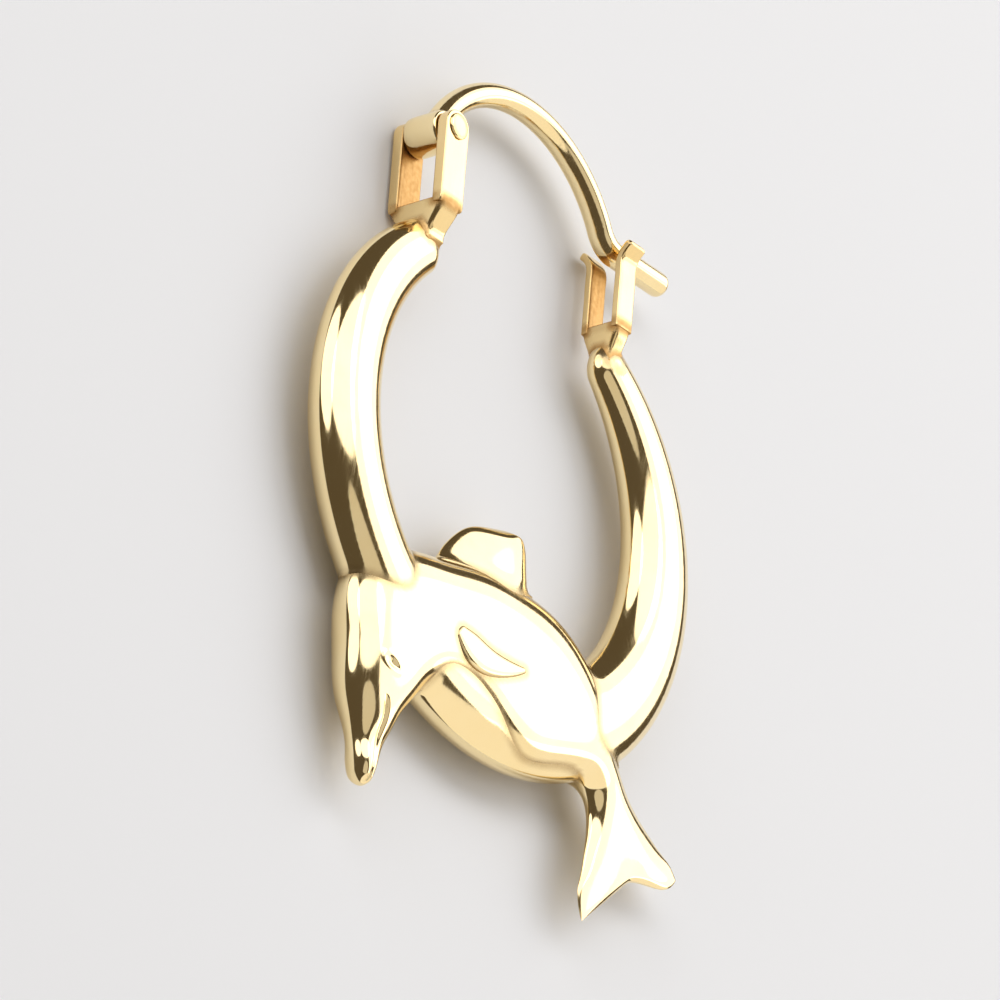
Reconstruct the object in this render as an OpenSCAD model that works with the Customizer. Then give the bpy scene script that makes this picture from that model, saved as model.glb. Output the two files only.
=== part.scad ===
// Creole hoop earring with a leaping dolphin across the lower half of its hoop, both faces alike.
// The hoop lies on its back. Z runs through the hoop, Y points from the dolphin to the ear wire
// and X points from the hinge to the catch. The origin is under the middle of the whole earring.
// Places in the plane of the hoop are counted from the centre of the hoop's circle.

/* [Hoop tube] */
// Radius of the circle that the tube's centre line follows
hoop_r = 8.4; // [8:0.1:9.6]
// Depth of the tube at the bottom of the hoop, along the hoop's radius
tube_depth = 3.5; // [3:0.1:3.9]
// Thickness of the tube at the bottom, through the hoop
tube_thick = 2.0; // [1.7:0.1:2.2]
// Share of its size that the tube would lose if it ran on to the middle of the gap
tube_taper = 0.92; // [0.8:0.01:0.94]
// Angle from the middle of the gap to the tube's end under the hinge
hinge_turn = 35; // [34:0.5:36]
// Angle from the middle of the gap to the tube's end under the catch
catch_turn = 33; // [32:0.5:34]

/* [Dolphin] */
// Thickness of the dolphin's body through the hoop, which the whole earring lies on
body_thick = 2.5; // [2.4:0.05:2.8]
// Length of the tail flukes from the tail stock to their tips
fluke_len = 3.5; // [3:0.1:4]
// Distance between the tips of the two flukes
fluke_span = 5.5; // [4.4:0.1:5.8]
// Direction of the tail, counted down from the X axis
fluke_deg = 66; // [62:1:70]

/* [Hinge and catch] */
// Distance of the hinge pin from the middle of the hoop, towards the hinge side
pin_out = 5.05; // [5:0.05:5.25]
// Height of the hinge pin above the centre of the hoop's circle
pin_up = 10.9; // [10.6:0.1:11.4]
// Radius of the hinge pin
pin_r = 0.27; // [0.24:0.01:0.3]
// Radius of the rivet heads on the hinge pin
pin_head_r = 0.46; // [0.4:0.01:0.5]
// Width of the hinge plates across the pin
plate_w = 1.2; // [1.1:0.05:1.3]
// Thickness of each hinge plate
plate_t = 0.42; // [0.35:0.01:0.45]
// Distance of the catch from the middle of the hoop, towards the catch side
catch_out = 4.9; // [4.8:0.05:5.1]
// Width of the catch's prongs along the ear wire
prong_w = 0.85; // [0.75:0.05:1]
// Thickness of each prong
prong_t = 0.3; // [0.26:0.01:0.36]

/* [Ear wire] */
// Diameter of the ear wire
wire_d = 0.86; // [0.7:0.02:0.9]
// Height of the top of the arch, on the wire's centre line, above the hinge pin
arch_rise = 3.2; // [2.8:0.1:3.8]
// Distance from the hinge pin to the wire's far end
wire_reach = 12.75; // [12:0.05:13.6]
// Radius of the bend that turns the wire outward over the catch
bend_r = 1.0; // [0.8:0.1:1.3]
// Outer radius of the eye round the hinge pin
eye_r = 0.72; // [0.66:0.01:0.8]

/* [Hidden] */
$fn = 64;

GOLD = [0.93, 0.74, 0.36];
WIRE_GOLD = [0.90, 0.72, 0.38];

// Running clearance round the pin, and beside the pieces that move
pin_gap = 0.03;
side_gap = 0.05;

wire_r = wire_d / 2;
half_lie = body_thick / 2;
head_t = 0.1;
plate_out = half_lie - head_t;
eye_t = 2 * (plate_out - plate_t - side_gap);

// Everything on the dolphin grows with the circle that it lies on
k = hoop_r / 8.4;

// Columns of a row of the dolphin's body, from the beak to the tail
X = 0;
Y = 1;
BACK = 2;
BELLY = 3;
THICK = 4;
// Place of the spine, reach to the back, reach to the belly, and share of the body's thickness
BODY_ROWS = [
    [-6.02, -13.75, 0.20, 0.20, 0.14],
    [-6.05, -13.10, 0.42, 0.42, 0.30],
    [-6.05, -12.30, 0.62, 0.62, 0.42],
    [-6.02, -11.55, 1.00, 0.85, 0.56],
    [-5.90, -10.70, 1.50, 1.15, 0.72],
    [-5.60, -9.60, 2.15, 1.45, 0.84],
    [-5.00, -8.40, 3.10, 1.60, 0.89],
    [-3.90, -7.25, 2.90, 1.75, 0.91],
    [-2.40, -6.45, 2.30, 2.55, 0.91],
    [-0.80, -6.10, 2.30, 3.35, 0.91],
    [0.80, -6.10, 2.30, 3.80, 0.91],
    [2.40, -6.35, 2.20, 3.50, 0.90],
    [3.80, -6.80, 1.95, 2.75, 0.87],
    [4.95, -7.30, 1.60, 1.70, 0.82],
    [5.85, -7.80, 1.10, 0.98, 0.64],
    [6.55, -8.35, 0.80, 0.72, 0.44],
    [6.95, -8.95, 0.60, 0.60, 0.30]
];

// Columns of a row of the dorsal fin, from its foot in the back to its tip
LEVEL = 0;
FRONT = 1;
REAR = 2;
HALF = 3;
FIN_ROWS = [
    [-4.80, -2.70, 1.80, 0.62],
    [-3.70, -2.35, 1.70, 0.56],
    [-3.00, -1.95, 1.55, 0.50],
    [-2.40, -1.35, 1.48, 0.43],
    [-1.90, -0.60, 1.46, 0.35],
    [-1.50, 0.20, 1.44, 0.26],
    [-1.25, 0.85, 1.36, 0.14]
];

// Columns of a row of one fluke, as shares of its length and of half the span, then half its thickness
ALONG = 0;
INNER = 1;
OUTER = 2;
FLUKE_ROWS = [
    [-0.24, -0.12, 0.16, 0.34],
    [-0.10, -0.13, 0.22, 0.40],
    [0.06, -0.12, 0.28, 0.42],
    [0.22, -0.12, 0.40, 0.40],
    [0.42, -0.11, 0.60, 0.36],
    [0.60, -0.08, 0.79, 0.31],
    [0.76, -0.02, 0.95, 0.26],
    [0.87, 0.24, 1.04, 0.21],
    [0.96, 0.54, 1.05, 0.15],
    [1.03, 0.80, 0.98, 0.08]
];
FLUKE_ROOT = [6.95, -8.45];
FLUKE_LEAN = 10;

// Columns of a row of one flipper, from its shoulder to its tip: place, half width, half thickness
WIDTH = 2;
BLADE = 3;
FLIPPER_ROWS = [
    [-2.75, -6.95, 0.28, 0.06],
    [-2.30, -7.20, 0.52, 0.10],
    [-1.60, -7.32, 0.56, 0.14],
    [-0.80, -7.22, 0.45, 0.14],
    [-0.05, -6.98, 0.30, 0.11],
    [0.50, -6.75, 0.10, 0.06]
];
FLIPPER_BLADE = 0.14;

// Smooth curve through the rows of a table, column by column
function between(a, b, c, d, t) =
    0.5 * (2 * b + (c - a) * t + (2 * a - 5 * b + 4 * c - d) * t * t + (3 * b - a - 3 * c + d) * t * t * t);
function row_at(rows, i) = rows[max(0, min(len(rows) - 1, i))];
function smooth_rows(rows, steps) = concat(
    [for (i = [0 : len(rows) - 2])
        for (j = [0 : steps - 1])
            between(row_at(rows, i - 1), rows[i], rows[i + 1], row_at(rows, i + 2), j / steps)],
    [rows[len(rows) - 1]]
);

function unit(v) = v / norm(v);
function heading(rows, i) = unit([
    row_at(rows, i + 1)[X] - row_at(rows, i - 1)[X],
    row_at(rows, i + 1)[Y] - row_at(rows, i - 1)[Y]
]);

// Skin over rings of equal length, closed at both ends
module skin(rings) {
    sides = len(rings[0]);
    last = len(rings) - 1;
    points = [for (ring = rings) for (p = ring) p];
    walls = [for (i = [0 : last - 1])
        for (j = [0 : sides - 1])
            let (a = i * sides + j)
            let (b = i * sides + (j + 1) % sides)
            for (face = [[a, b, b + sides], [a, b + sides, a + sides]])
                face];
    ends = [
        [for (j = [sides - 1 : -1 : 0]) j],
        [for (j = [0 : sides - 1]) last * sides + j]
    ];
    polyhedron(points = points, faces = concat(walls, ends), convexity = 8);
}

// The tube shrinks with the third power of the way from the bottom to the middle of the gap
function tube_share(turn) = 1 - tube_taper * pow(abs(180 - turn) / 180, 3);
function tube_ring(turn, sides) = [for (j = [0 : sides - 1])
    let (t = -360 * j / sides)
    let (r = hoop_r + tube_depth / 2 * tube_share(turn) * cos(t))
    [r * sin(turn), r * cos(turn), tube_thick / 2 * tube_share(turn) * sin(t)]];

tube_turns = [for (i = [0 : 78]) catch_turn + (360 - catch_turn - hinge_turn) * i / 78];

module tube() {
    skin([for (turn = tube_turns) tube_ring(turn, 20)]);
}

// Fullness of the body's section: 2 is an oval, more is squarer
BACK_FULL = 2.2;
BELLY_FULL = 3.6;
function full(share, fullness) = sign(share) * pow(abs(share), 2 / fullness);

// One ring of the body stands across the spine, with the back on the outer side of the bend
function body_ring(rows, i, sides) =
    let (row = rows[i])
    let (along = heading(rows, i))
    let (across = [-along[Y], along[X]])
    [for (j = [0 : sides - 1])
        let (t = -360 * j / sides)
        let (reach = cos(t) > 0 ? row[BACK] * full(cos(t), BACK_FULL) : row[BELLY] * full(cos(t), BELLY_FULL))
        let (swell = full(sin(t), cos(t) > 0 ? BACK_FULL : BELLY_FULL))
        [k * (row[X] + across[X] * reach), k * (row[Y] + across[Y] * reach), half_lie * row[THICK] * swell]];

body_stations = smooth_rows(BODY_ROWS, 3);

module dolphin_body() {
    skin([for (i = [0 : len(body_stations) - 1]) body_ring(body_stations, i, 24)]);
}

// A flat oval from front to rear, at one level of the fin
function fin_ring(row, sides) = [for (j = [0 : sides - 1])
    let (t = 360 * j / sides)
    let (mid = (row[FRONT] + row[REAR]) / 2)
    let (reach = (row[REAR] - row[FRONT]) / 2)
    [k * (mid + reach * cos(t)), k * row[LEVEL], row[HALF] * sin(t)]];

module dorsal_fin() {
    skin([for (row = smooth_rows(FIN_ROWS, 2)) fin_ring(row, 16)]);
}

// A flat oval across one fluke, with side 1 or -1 for the fluke that it belongs to. The line between
// the tips leans by FLUKE_LEAN degrees from square to the tail.
function fluke_ring(row, side, sides) = [for (j = [0 : sides - 1])
    let (t = -side * 360 * j / sides)
    let (mid = (row[OUTER] + row[INNER]) / 2)
    let (reach = (row[OUTER] - row[INNER]) / 2)
    let (s = fluke_len * row[ALONG])
    let (c = side * fluke_span / 2 * (mid + reach * cos(t)))
    [k * (FLUKE_ROOT[X] + s * cos(fluke_deg) + c * sin(fluke_deg - FLUKE_LEAN)),
        k * (FLUKE_ROOT[Y] - s * sin(fluke_deg) + c * cos(fluke_deg - FLUKE_LEAN)),
        row[HALF] * sin(t)]];

module fluke(side) {
    skin([for (row = smooth_rows(FLUKE_ROWS, 2)) fluke_ring(row, side, 16)]);
}

// A low blade along the flank, with face 1 or -1 for the front or the back of the hoop
function flipper_ring(rows, i, face, sides) =
    let (row = rows[i])
    let (along = heading(rows, i))
    [for (j = [0 : sides - 1])
        let (t = -360 * j / sides)
        [k * (row[X] - along[Y] * row[WIDTH] * cos(t)),
            k * (row[Y] + along[X] * row[WIDTH] * cos(t)),
            face * (half_lie - FLIPPER_BLADE) + min(row[BLADE], FLIPPER_BLADE) * sin(t)]];

module flipper(face) {
    rows = smooth_rows(FLIPPER_ROWS, 2);
    skin([for (i = [0 : len(rows) - 1]) flipper_ring(rows, i, face, 12)]);
}

// Length of the flared end of each arm of a fork
LIP_RUN = 0.5;

// A fork bent from one strip. Seen along X it leaves its foot as one leg and opens to two arms,
// whose outer faces stand arm_out from the middle. Lip is how far the end of each arm flares.
module fork(width, foot_half, arm_out, arm_t, rise, crotch, lip) {
    right = [
        [0, foot_half],
        [crotch - 1.0, foot_half],
        [crotch, arm_out],
        [rise - LIP_RUN, arm_out],
        [rise, arm_out + lip],
        [rise, arm_out + lip - arm_t],
        [rise - LIP_RUN, arm_out - arm_t],
        [crotch + 0.35, arm_out - arm_t],
        [crotch, 0.2]
    ];
    left = [for (i = [len(right) - 1 : -1 : 0]) [right[i][0], -right[i][1]]];
    translate([-width / 2, 0, 0])
        rotate([90, 0, 90])
            linear_extrude(width)
                polygon(concat(right, left));
}

clevis_foot = 6.7;
clevis_rise = pin_up + plate_w / 2 - clevis_foot;

// Two plates with round ends, drilled for the pin
module hinge_clevis() {
    translate([-pin_out, clevis_foot, 0])
        difference() {
            intersection() {
                fork(plate_w, 0.6, plate_out, plate_t, clevis_rise, 1.35, 0);
                linear_extrude(body_thick, center = true)
                    union() {
                        translate([-plate_w / 2, -1])
                            square([plate_w, clevis_rise - plate_w / 2 + 1]);
                        translate([0, clevis_rise - plate_w / 2])
                            circle(plate_w / 2);
                    }
            }
            translate([0, pin_up - clevis_foot, 0])
                cylinder(h = body_thick + 1, r = pin_r + pin_gap, center = true);
        }
}

catch_foot = 6.8;
catch_rise = 4.35;
prong_out = wire_r + side_gap + prong_t;

// Two prongs whose ends flare so that the wire slips in between them
module catch_fork() {
    translate([catch_out, catch_foot, 0])
        fork(prong_w, 0.45, prong_out, prong_t, catch_rise, 1.35, half_lie - prong_out);
}

// The arch is a circle through the pin. The bend is a smaller circle that touches it and the tip.
arch_mid = -0.3;
arch_half = arch_mid + pin_out;
arch_r = (arch_half * arch_half + arch_rise * arch_rise) / (2 * arch_rise);
arch_c = [arch_mid, pin_up + arch_rise - arch_r];
tip_up = pin_up + 0.12;
bend_up = tip_up + bend_r;
bend_c = [arch_mid + sqrt(pow(arch_r + bend_r, 2) - pow(bend_up - arch_c[Y], 2)), bend_up];
bend_deg = acos((bend_up - arch_c[Y]) / (arch_r + bend_r));
start_deg = -acos((pin_up - arch_c[Y]) / arch_r) + 6;
tip_end = -pin_out + wire_reach - wire_r;

// Stations of the wire's centre line: place, then radius
WIRE_ARCH = [for (i = [0 : 30])
    let (a = start_deg + (bend_deg - start_deg) * i / 30)
    [arch_c[X] + arch_r * sin(a), arch_c[Y] + arch_r * cos(a), wire_r]];
WIRE_BEND = [for (i = [1 : 8])
    let (a = bend_deg * (1 - i / 8))
    [bend_c[X] - bend_r * sin(a), bend_c[Y] - bend_r * cos(a), wire_r]];
WIRE_TIP = [for (i = [0 : 5])
    let (a = 84 * i / 5)
    [tip_end + wire_r * sin(a), tip_up, wire_r * cos(a)]];
wire_stations = concat(WIRE_ARCH, WIRE_BEND, WIRE_TIP);

function wire_ring(rows, i, sides) =
    let (row = rows[i])
    let (along = heading(rows, i))
    [for (j = [0 : sides - 1])
        let (t = -360 * j / sides)
        [row[X] - along[Y] * row[2] * cos(t), row[Y] + along[X] * row[2] * cos(t), row[2] * sin(t)]];

module wire_run() {
    skin([for (i = [0 : len(wire_stations) - 1]) wire_ring(wire_stations, i, 16)]);
}

// Reach of the whole earring on each side of the hoop's centre
reach_left = max([for (turn = tube_turns) -(hoop_r + tube_depth / 2 * tube_share(turn)) * sin(turn)]);
reach_right = max([for (row = FLUKE_ROWS) for (p = fluke_ring(row, 1, 16)) p[X]]);
reach_down = -min([for (i = [0, 1]) for (p = body_ring(body_stations, i, 24)) p[Y]]);
reach_up = pin_up + arch_rise + wire_r;
hoop_at = [(reach_left - reach_right) / 2, (reach_down - reach_up) / 2, half_lie];

module hoop() {
    color(GOLD)
        translate(hoop_at) {
            tube();
            dolphin_body();
            dorsal_fin();
            fluke(1);
            fluke(-1);
            flipper(1);
            flipper(-1);
            hinge_clevis();
            catch_fork();
        }
}

module hinge_pin() {
    color(WIRE_GOLD)
        translate(hoop_at + [-pin_out, pin_up, 0]) {
            cylinder(h = 2 * half_lie - 0.02, r = pin_r, center = true);
            for (side = [-1, 1])
                translate([0, 0, side * (half_lie - head_t / 2)])
                    cylinder(h = head_t, r = pin_head_r, center = true);
        }
}

module ear_wire() {
    color(WIRE_GOLD)
        translate(hoop_at)
            difference() {
                union() {
                    wire_run();
                    translate([-pin_out, pin_up, 0])
                        cylinder(h = eye_t, r = eye_r, center = true);
                }
                translate([-pin_out, pin_up, 0])
                    cylinder(h = eye_t + 1, r = pin_r + pin_gap, center = true);
            }
}

hoop();
hinge_pin();
ear_wire();
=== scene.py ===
"""Dressed model of a gold creole hoop earring with a leaping dolphin.

The earring lies on its back on a pale floor. Z runs through the hoop, Y points from the dolphin to
the ear wire, and X from the hinge to the catch. Sizes are in millimetres about the centre of the
hoop's circle until a mesh is made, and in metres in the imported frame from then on.
"""

from __future__ import annotations

import logging
import math
from collections.abc import Callable
from dataclasses import dataclass, replace
from enum import Enum

import bpy
import numpy as np
from mathutils import Matrix, Vector
from numpy.typing import NDArray


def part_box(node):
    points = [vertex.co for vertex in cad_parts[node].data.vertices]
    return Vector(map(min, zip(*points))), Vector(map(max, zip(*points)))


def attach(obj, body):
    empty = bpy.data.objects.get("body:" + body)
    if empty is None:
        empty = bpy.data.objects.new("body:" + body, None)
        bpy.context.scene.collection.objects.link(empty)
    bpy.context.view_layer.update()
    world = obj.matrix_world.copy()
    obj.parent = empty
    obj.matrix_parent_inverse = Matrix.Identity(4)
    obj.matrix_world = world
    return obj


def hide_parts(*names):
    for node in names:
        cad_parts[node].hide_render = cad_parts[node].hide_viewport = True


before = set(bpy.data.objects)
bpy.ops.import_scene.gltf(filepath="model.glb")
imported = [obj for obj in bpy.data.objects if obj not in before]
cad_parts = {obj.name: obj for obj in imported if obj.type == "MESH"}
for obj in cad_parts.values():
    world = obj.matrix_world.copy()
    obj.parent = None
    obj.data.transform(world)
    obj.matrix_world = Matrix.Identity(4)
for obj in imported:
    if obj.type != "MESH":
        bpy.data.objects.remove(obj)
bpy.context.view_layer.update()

log = logging.getLogger("dolphin_creole")

Array = NDArray[np.float64]
Colour = tuple[float, float, float]
Feed = float | tuple[float, ...] | bpy.types.NodeSocket

MM = 0.001
TURN = 2.0 * math.pi
EAST: Array = np.array([1.0, 0.0, 0.0])
THROUGH: Array = np.array([0.0, 0.0, 1.0])

# Fullness of a section: an ellipse, and a flat strip with rounded corners.
ELLIPSE = 2.0
STRIP = 6.0

# Rings of a rounded end, and the angle of its smallest ring.
ROUND_RINGS = 14
ROUND_START = 0.04

# Sizes of a cap's flat rings, as shares of the last ring of the skin.
CAP_SHARES: Array = np.array([0.96, 0.85, 0.6, 0.35, 0.1])

# Distance over which a neighbouring skin is averaged, and points that are compared at a time.
SOFTNESS = 0.07
BATCH = 300

# Reach of the dirt round a join, soft edge of the painted shade on faces inside a slot, and how
# fast a fillet fades where two skins run alike.
JOIN_REACH = 0.3
SLOT_EDGE = 0.07
FILLET_POWER = 1.5

# Least values that are divided by: the sine between two skins, a girth, a cell's area, a cosine.
LEAST_SINE = 0.05
LEAST_GIRTH = 0.05
LEAST_AREA = 1e-12
TINY = 1e-6


class Body(Enum):
    """The two bodies that the hinge joins."""

    HOOP = "hoop"
    EAR_WIRE = "ear_wire"


class Slot(Enum):
    """Material slots of the record."""

    GOLD = "gold"
    WIRE_GOLD = "wire_gold"


class Close(Enum):
    """How rings are closed: at a point on each end, by a seam on the last ring, or round."""

    POLES = "poles"
    SEAM = "seam"
    ROUND = "round"


class Face(Enum):
    """The front and the back of the hoop, as the sign of the distance through it."""

    FRONT = 1
    BACK = -1

    def of(self, piece: str) -> str:
        """The name of this face's copy of a piece."""
        return f"{piece}_{self.name.lower()}"


class Socket(Enum):
    """What the socket of a node group carries."""

    NUMBER = "NodeSocketFloat"
    PLACE = "NodeSocketVector"
    COLOUR = "NodeSocketColor"


def smooth_step(x: Array) -> Array:
    """Rises from 0 at x = 0 to 1 at x = 1 as 3x² - 2x³, and is level outside."""
    t = np.clip(x, 0.0, 1.0)
    return t * t * (3.0 - 2.0 * t)


def bell(x: Array) -> Array:
    """The bell curve exp(-x²), which is 1 at x = 0 and nearly nothing beyond 2."""
    return np.exp(-np.square(x))


def between(low: float, share: Array) -> Array:
    """Runs evenly from low at a share of 0 to 1 at a share of 1."""
    return low + (1.0 - low) * share


def unit_rows(v: Array) -> Array:
    """Each row of v at length 1."""
    return v / np.linalg.norm(v, axis=-1, keepdims=True)


def rows_of(x: float | Array, y: float | Array, z: float | Array = 0.0) -> Array:
    """Rows of x, y and z, each of them one number for all rows or one for each row."""
    return np.column_stack(np.broadcast_arrays(x, y, z))


def knots_of(rows: Array) -> Array:
    """Distance from the first row to each row of a table whose first two columns are a place."""
    steps = np.linalg.norm(np.diff(rows[:, :2], axis=0), axis=1)
    return np.concatenate([[0.0], np.cumsum(steps)])


def heading(points: Array, at: Array) -> tuple[Array, Array]:
    """Unit rows of x and y along a path, and across it to its left."""
    along = unit_rows(np.gradient(points, at, axis=0))
    return along, np.stack([-along[:, 1], along[:, 0]], axis=1)


def spline(rows: Array, knots: Array, at: Array) -> Array:
    """Natural cubic spline through the rows of a table, column by column.

    Between two knots each column is the straight line plus a cubic whose second derivative runs
    from one knot's curvature to the next. The curvatures make the slopes agree at every knot and
    are nothing at both ends.

    Args:
        rows: The table, one row for each knot.
        knots: Rising values of the parameter at the rows.
        at: Values of the parameter to work the columns out for.

    Returns:
        A table with one row for each value in at.
    """
    gap = np.diff(knots)
    slope = np.diff(rows, axis=0) / gap[:, None]
    system = np.eye(len(knots))
    inner = np.arange(1, len(knots) - 1)
    system[inner, inner - 1] = gap[:-1]
    system[inner, inner] = 2.0 * (gap[:-1] + gap[1:])
    system[inner, inner + 1] = gap[1:]
    right = np.zeros_like(rows)
    right[1:-1] = 6.0 * np.diff(slope, axis=0)
    bend = np.linalg.solve(system, right)
    i = np.clip(np.searchsorted(knots, at, side="right") - 1, 0, len(gap) - 1)
    h = gap[i][:, None]
    f = (at - knots[i])[:, None] / h
    line = (1.0 - f) * rows[i] + f * rows[i + 1]
    cubic = ((1.0 - f) ** 3 - (1.0 - f)) * bend[i] + (f**3 - f) * bend[i + 1]
    return line + cubic * h**2 / 6.0


def stations(middle: Array, stop: float) -> tuple[Array, Array]:
    """Places along a path whose ends are rounded off as quarter circles.

    Before the first of the middle places, the places run from 0 as start (1 - cos a) while the
    section grows as sin a, with a up to 90 degrees. After the last, they mirror that over stop.

    Args:
        middle: Rising places between the rounded ends. The first is the length of the first
            rounding, or 0 for none.
        stop: Length of the rounding at the last end.

    Returns:
        The places, and the share of its size that the section has at each.
    """
    turn = np.linspace(ROUND_START, math.pi / 2.0, ROUND_RINGS)
    places, shares = [middle], [np.ones(len(middle))]
    if middle[0] > 0.0:
        places.insert(0, middle[0] * (1.0 - np.cos(turn[:-1])))
        shares.insert(0, np.sin(turn[:-1]))
    places.append(middle[-1] + stop * np.cos(turn[-2::-1]))
    shares.append(np.sin(turn[-2::-1]))
    return np.concatenate(places), np.concatenate(shares)


@dataclass(frozen=True)
class Cut:
    """How finely a skin is divided, and how its ends are rounded off.

    Attributes:
        rings: Number of rings between the ends.
        count: Number of points on a ring.
        start: Length of the first end's rounding, or 0 for none.
        stop: Length of the last end's rounding.
        wide: Width that is left at the very end, as a share.
        thick: Thickness that is left at the very end, as a share.
    """

    rings: int
    count: int
    start: float = 0.0
    stop: float = 0.0
    wide: float = 0.0
    thick: float = 0.0

    def places(self, length: float) -> tuple[Array, Array]:
        """Places along a path of some length, and how far the ends shrink the section at each."""
        return stations(np.linspace(self.start, length - self.stop, self.rings), self.stop)

    def sizes(
        self, wide: Array | float, thick: Array | float, shrink: Array
    ) -> tuple[Array, Array]:
        """Half width and half thickness of the section at each place, rounded off at the ends."""
        return wide * between(self.wide, shrink), thick * between(self.thick, shrink)


def ring_angles(count: int) -> Array:
    """Even angles round a full turn, which start half a step past 0 so that a seam has a mirror."""
    return TURN * (np.arange(count) + 0.5) / count


def oval(count: int, fullness: float | Array) -> tuple[Array, Array]:
    """Superellipse |x|^p + |y|^p = 1 by its polar form.

    At the angle a the radius is (|cos a|^p + |sin a|^p)^(-1/p), so the points lie evenly round it.

    Args:
        count: Number of points on the ring.
        fullness: The exponent p, one number or an array that ends in the count of points.

    Returns:
        x and y of the points.
    """
    a = ring_angles(count)
    c, s = np.cos(a), np.sin(a)
    r = (np.abs(c) ** fullness + np.abs(s) ** fullness) ** (-1.0 / np.asarray(fullness))
    return r * c, r * s


def oval_ring(count: int, fullness: float) -> Array:
    """The points of an oval, one row each."""
    return np.stack(oval(count, fullness), axis=1)


def bar_ring(count: int, fullness: float) -> Array:
    """Superellipse by powers of the cosine and sine, which crowds its points into the corners.

    The point at the angle a is (sign(cos a) |cos a|^(2/p), sign(sin a) |sin a|^(2/p)). With a large
    p it is the section of a flat strip with slightly domed faces and rounded corners.

    Args:
        count: Number of points on the ring.
        fullness: The exponent p.

    Returns:
        The points, one row each.
    """
    a = ring_angles(count)
    c, s = np.cos(a), np.sin(a)
    power = 2.0 / fullness
    return np.stack([np.sign(c) * np.abs(c) ** power, np.sign(s) * np.abs(s) ** power], axis=1)


def sweep(
    path: Array, side: Array, rise: Array, ring: Array, half_side: Array, half_rise: Array
) -> Array:
    """Carries a section along a path.

    A point of the grid is the path's point, plus the section's x times half_side along side, plus
    its y times half_rise along rise.

    Args:
        path: Points of the path, one row each.
        side: Unit direction of the section's x at each point, or one for all.
        rise: Unit direction of the section's y at each point, or one for all.
        ring: The section's points, one row each.
        half_side: Half size of the section along side at each point.
        half_rise: Half size of the section along rise at each point.

    Returns:
        The grid of points, with one ring for each point of the path.
    """
    sides = np.broadcast_to(side, path.shape)[:, None, :]
    rises = np.broadcast_to(rise, path.shape)[:, None, :]
    across = (half_side[:, None] * ring[None, :, 0])[..., None] * sides
    up = (half_rise[:, None] * ring[None, :, 1])[..., None] * rises
    return path[:, None, :] + across + up


def capped(grid: Array) -> Array:
    """Adds flat rings that shrink towards the middle of the first and of the last ring.

    Args:
        grid: Rings of points, whose ends are open.

    Returns:
        The longer grid.
    """
    shares = CAP_SHARES[:, None, None]
    first, last = grid[0].mean(axis=0), grid[-1].mean(axis=0)
    before, after = first + shares[::-1] * (grid[0] - first), last + shares * (grid[-1] - last)
    return np.concatenate([before, grid, after])


def lathe(profile: Array, centre: Array, count: int) -> Array:
    """Turns a profile round an axis that runs through the hoop.

    A point of the grid lies at the profile's radius from the axis, at even angles, and at the
    profile's height above the centre.

    Args:
        profile: Rows of radius and height.
        centre: Where the axis passes, and the height that the profile's is counted from.
        count: Number of points round the axis.

    Returns:
        The grid of points, with one ring for each row of the profile.
    """
    a = ring_angles(count)
    lift = profile[:, 1][:, None, None] * THROUGH
    return centre + profile[:, 0][:, None, None] * rows_of(np.cos(a), np.sin(a)) + lift


@dataclass(frozen=True)
class Place:
    """Where the centre of the hoop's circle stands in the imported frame.

    Attributes:
        centre: The centre, in millimetres.
    """

    centre: Array

    @classmethod
    def from_pin(cls, out: float, up: float) -> Place:
        """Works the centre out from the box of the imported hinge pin.

        Args:
            out: Distance of the pin from the centre, towards the hinge side.
            up: Height of the pin above the centre.

        Returns:
            The place of the hoop.
        """
        low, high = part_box("hinge_pin")
        pin = np.array((low + high) / 2.0) / MM
        return cls(pin - np.array([-out, up, 0.0]))

    def metres(self, points: Array) -> Array:
        """Points about the hoop's centre in millimetres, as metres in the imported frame."""
        return (points + self.centre) * MM


def grid_faces(rings: int, count: int, close: Close) -> tuple[list[list[int]], int]:
    """Faces of a grid of closed rings.

    Each cell of the grid is one four-sided face. Poles add a fan to one more point at each end. A
    seam adds such a fan at the first end and joins the last ring to its own mirror. Round joins the
    last ring to the first.

    Args:
        rings: Number of rings.
        count: Number of points on each.
        close: How the ends are closed.

    Returns:
        The faces, and how many poles they expect after the grid's own points.
    """
    index = np.arange(rings * count).reshape(rings, count)
    near = index if close is Close.ROUND else index[:-1]
    far = np.roll(index, -1, axis=0) if close is Close.ROUND else index[1:]
    cells = np.stack([near, np.roll(near, -1, 1), np.roll(far, -1, 1), far], axis=-1)
    faces = cells.reshape(-1, 4).tolist()
    if close is Close.ROUND:
        return faces, 0
    first, last = index[0], index[-1]
    pole = np.full(count, rings * count)
    faces += np.stack([np.roll(first, -1), first, pole], axis=-1).tolist()
    if close is Close.POLES:
        faces += np.stack([last, np.roll(last, -1), pole + 1], axis=-1).tolist()
        return faces, 2
    top, bottom = last[: count // 2], last[::-1][: count // 2]
    faces += np.stack([top[:-1], top[1:], bottom[1:], bottom[:-1]], axis=-1).tolist()
    return faces, 1


def outward(points: Array, faces: list[list[int]]) -> bool:
    """Whether the faces of a closed mesh point outwards.

    The sum over all corners' triangles of a point's product with the cross product of its two
    neighbours is six times the volume, and it is positive where the faces point outwards.

    Args:
        points: The mesh's points.
        faces: Its faces, each of three or four points.

    Returns:
        True where they do.
    """
    four = np.array([face + face[-1:] if len(face) == 3 else face for face in faces])
    a, b, c, d = (points[four[:, i]] for i in range(4))
    halves = np.einsum("ij,ij->i", a, np.cross(b, c)) + np.einsum("ij,ij->i", a, np.cross(c, d))
    return float(halves.sum()) > 0.0


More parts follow.
